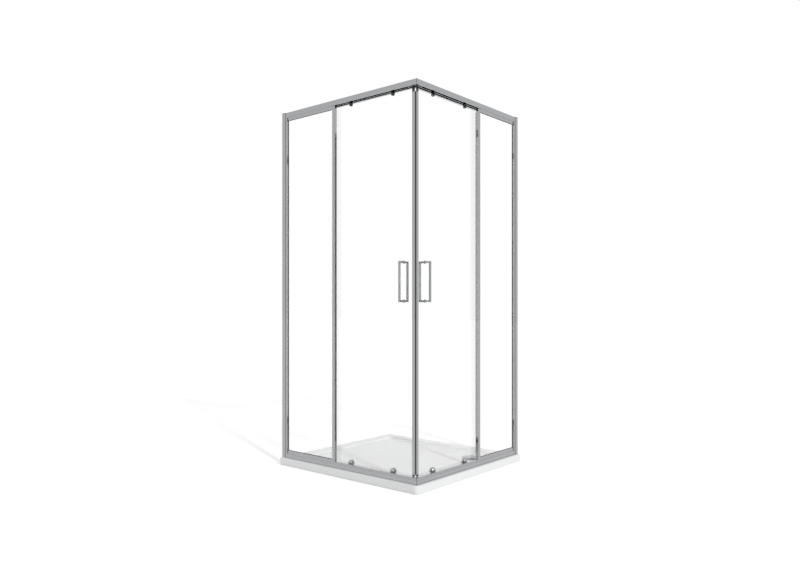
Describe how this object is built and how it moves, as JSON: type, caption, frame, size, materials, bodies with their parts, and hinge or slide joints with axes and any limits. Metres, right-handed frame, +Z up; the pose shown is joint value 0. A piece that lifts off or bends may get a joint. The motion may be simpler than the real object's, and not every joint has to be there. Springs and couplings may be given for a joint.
{
  "type": "corner shower enclosure",
  "caption": "Square corner-entry shower enclosure with fixed panes, sliding glass doors that meet at the corner, bar handles, polished frame and a low white tray with a corner waste.",
  "frame": {"origin": "middle of the tray's square footprint, on the floor", "axes": "+Z up; the glazed sides face -Y and +X and meet at the near corner (+X, -Y); the walls are at -X and +Y"},
  "size_m": [0.9, 0.9, 1.84],
  "materials": {
    "tray_white": "glossy white gel coat",
    "waste_chrome": "polished",
    "black_rubber": "matt",
    "dark_plastic": "moulded",
    "bright_aluminium": "polished bright",
    "chromed_plastic": "chrome-plated",
    "handle_chrome": "polished",
    "stainless_steel": "plain",
    "clear_glass": "clear tempered",
    "clear_seal": "clear soft vinyl",
    "dark_seal": "satin soft vinyl",
    "wheel_plastic": "natural acetal",
    "carriage_plastic": "moulded"
  },
  "bodies": {
    "root": {"shower_tray": "tray_white", "waste_body": "waste_chrome", "waste_seal": "black_rubber", "waste_nut": "dark_plastic", "frame_uprights": "bright_aluminium", "mullions": "bright_aluminium", "profile_end_plugs": "dark_plastic", "glazing_gaskets": "black_rubber", "glazing_beads": "bright_aluminium", "threshold_covers": "bright_aluminium", "mullion_seals": "dark_seal", "top_corner_connector": "dark_plastic", "bottom_corner_connector": "dark_plastic", "rail_end_blocks": "chromed_plastic", "frame_screws": "stainless_steel", "track_stops": "black_rubber", "left_wall_profile": "bright_aluminium", "left_top_rail": "bright_aluminium", "left_bottom_rail": "bright_aluminium", "left_fixed_glass": "clear_glass", "right_wall_profile": "bright_aluminium", "right_top_rail": "bright_aluminium", "right_bottom_rail": "bright_aluminium", "right_fixed_glass": "clear_glass"},
    "waste_insert": {"waste_cover": "waste_chrome", "hair_strainer": "dark_plastic"},
    "left_door": {"left_door_glass": "clear_glass", "left_leading_profile": "bright_aluminium", "left_leading_plugs": "dark_plastic", "left_magnetic_seal": "dark_seal", "left_trailing_seal": "clear_seal", "left_handle_outer": "handle_chrome", "left_handle_inner": "handle_chrome", "left_handle_fixings": "stainless_steel", "left_roller_brackets": "dark_plastic", "left_release_housings": "chromed_plastic", "left_release_springs": "stainless_steel"},
    "left_top_wheel_rear": {"left_top_wheel_rear": "wheel_plastic"},
    "left_bottom_wheel_rear": {"left_bottom_wheel_rear": "wheel_plastic"},
    "left_release_carriage_rear": {"left_release_carriage_rear": "carriage_plastic"},
    "left_top_wheel_front": {"left_top_wheel_front": "wheel_plastic"},
    "left_bottom_wheel_front": {"left_bottom_wheel_front": "wheel_plastic"},
    "left_release_carriage_front": {"left_release_carriage_front": "carriage_plastic"},
    "right_door": {"right_door_glass": "clear_glass", "right_leading_profile": "bright_aluminium", "right_leading_plugs": "dark_plastic", "right_magnetic_seal": "dark_seal", "right_trailing_seal": "clear_seal", "right_handle_outer": "handle_chrome", "right_handle_inner": "handle_chrome", "right_handle_fixings": "stainless_steel", "right_roller_brackets": "dark_plastic", "right_release_housings": "chromed_plastic", "right_release_springs": "stainless_steel"},
    "right_top_wheel_rear": {"right_top_wheel_rear": "wheel_plastic"},
    "right_bottom_wheel_rear": {"right_bottom_wheel_rear": "wheel_plastic"},
    "right_release_carriage_rear": {"right_release_carriage_rear": "carriage_plastic"},
    "right_top_wheel_front": {"right_top_wheel_front": "wheel_plastic"},
    "right_bottom_wheel_front": {"right_bottom_wheel_front": "wheel_plastic"},
    "right_release_carriage_front": {"right_release_carriage_front": "carriage_plastic"}
  },
  "joints": [
    {"name": "left_door_slide", "type": "slide", "parent": "root", "child": "left_door", "axis": [-1, 0, 0], "range_m": [0, 0.3]},
    {"name": "right_door_slide", "type": "slide", "parent": "root", "child": "right_door", "axis": [0, 1, 0], "range_m": [0, 0.3]},
    {"name": "left_release_carriage_rear_lift", "type": "slide", "parent": "left_door", "child": "left_release_carriage_rear", "axis": [0, 0, 1], "range_m": [0, 0.006], "stiffness_N_per_m": 400, "springref_m": -0.003, "deforming": ["left_release_springs"]},
    {"name": "left_release_carriage_front_lift", "type": "slide", "parent": "left_door", "child": "left_release_carriage_front", "axis": [0, 0, 1], "range_m": [0, 0.006], "stiffness_N_per_m": 400, "springref_m": -0.003, "deforming": ["left_release_springs"]},
    {"name": "right_release_carriage_rear_lift", "type": "slide", "parent": "right_door", "child": "right_release_carriage_rear", "axis": [0, 0, 1], "range_m": [0, 0.006], "stiffness_N_per_m": 400, "springref_m": -0.003, "deforming": ["right_release_springs"]},
    {"name": "right_release_carriage_front_lift", "type": "slide", "parent": "right_door", "child": "right_release_carriage_front", "axis": [0, 0, 1], "range_m": [0, 0.006], "stiffness_N_per_m": 400, "springref_m": -0.003, "deforming": ["right_release_springs"]},
    {"name": "waste_cover_lift", "type": "slide", "parent": "root", "child": "waste_insert", "axis": [0, 0, 1], "range_m": [0, 0.08]},
    {"name": "left_top_wheel_rear_spin", "type": "hinge", "parent": "left_door", "child": "left_top_wheel_rear", "pos_m": [0.0145, -0.396, 1.826], "axis": [0, 1, 0], "range_deg": [-2149, 0]},
    {"name": "left_bottom_wheel_rear_spin", "type": "hinge", "parent": "left_release_carriage_rear", "child": "left_bottom_wheel_rear", "pos_m": [0.0145, -0.397, 0.0588], "axis": [0, 1, 0], "range_deg": [-2645, 0]},
    {"name": "left_top_wheel_front_spin", "type": "hinge", "parent": "left_door", "child": "left_top_wheel_front", "pos_m": [0.27656, -0.396, 1.826], "axis": [0, 1, 0], "range_deg": [-2149, 0]},
    {"name": "left_bottom_wheel_front_spin", "type": "hinge", "parent": "left_release_carriage_front", "child": "left_bottom_wheel_front", "pos_m": [0.27656, -0.397, 0.0588], "axis": [0, 1, 0], "range_deg": [-2645, 0]},
    {"name": "right_top_wheel_rear_spin", "type": "hinge", "parent": "right_door", "child": "right_top_wheel_rear", "pos_m": [0.396, -0.0145, 1.826], "axis": [1, 0, 0], "range_deg": [-2149, 0]},
    {"name": "right_bottom_wheel_rear_spin", "type": "hinge", "parent": "right_release_carriage_rear", "child": "right_bottom_wheel_rear", "pos_m": [0.397, -0.0145, 0.0588], "axis": [1, 0, 0], "range_deg": [-2645, 0]},
    {"name": "right_top_wheel_front_spin", "type": "hinge", "parent": "right_door", "child": "right_top_wheel_front", "pos_m": [0.396, -0.27656, 1.826], "axis": [1, 0, 0], "range_deg": [-2149, 0]},
    {"name": "right_bottom_wheel_front_spin", "type": "hinge", "parent": "right_release_carriage_front", "child": "right_bottom_wheel_front", "pos_m": [0.397, -0.27656, 0.0588], "axis": [1, 0, 0], "range_deg": [-2645, 0]}
  ],
  "couplings": [
    {"joint": "left_top_wheel_rear_spin", "follows": "left_door_slide", "rad_per_m": -125},
    {"joint": "left_bottom_wheel_rear_spin", "follows": "left_door_slide", "rad_per_m": -153.85},
    {"joint": "left_top_wheel_front_spin", "follows": "left_door_slide", "rad_per_m": -125},
    {"joint": "left_bottom_wheel_front_spin", "follows": "left_door_slide", "rad_per_m": -153.85},
    {"joint": "right_top_wheel_rear_spin", "follows": "right_door_slide", "rad_per_m": -125},
    {"joint": "right_bottom_wheel_rear_spin", "follows": "right_door_slide", "rad_per_m": -153.85},
    {"joint": "right_top_wheel_front_spin", "follows": "right_door_slide", "rad_per_m": -125},
    {"joint": "right_bottom_wheel_front_spin", "follows": "right_door_slide", "rad_per_m": -153.85}
  ]
}
